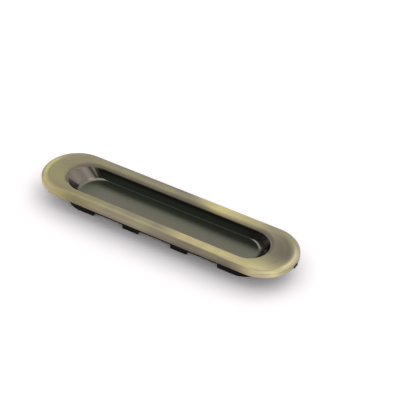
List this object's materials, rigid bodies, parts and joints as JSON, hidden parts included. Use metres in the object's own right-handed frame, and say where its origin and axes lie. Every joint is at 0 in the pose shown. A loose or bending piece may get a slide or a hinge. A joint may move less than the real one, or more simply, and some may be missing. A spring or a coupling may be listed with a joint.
{
  "type": "sliding door flush pull",
  "caption": "Oval flush pull for a sliding door: a crowned metal face plate with a long finger recess, over a plastic base that goes in the door's mortise.",
  "frame": {"origin": "middle of the plane that the base's feet stand on, with the pull lying face up", "axes": "+X along the pull's length, +Y across it, +Z out of the door's face"},
  "size_m": [0.1606, 0.04, 0.0133],
  "materials": {
    "antique_brass": "brushed antique brass plating, dark in the recess, lacquered satin",
    "black_plastic": "moulded black plastic, fine matt"
  },
  "bodies": {
    "root": {"face_plate": "antique_brass", "mounting_base": "black_plastic"}
  },
  "joints": []
}
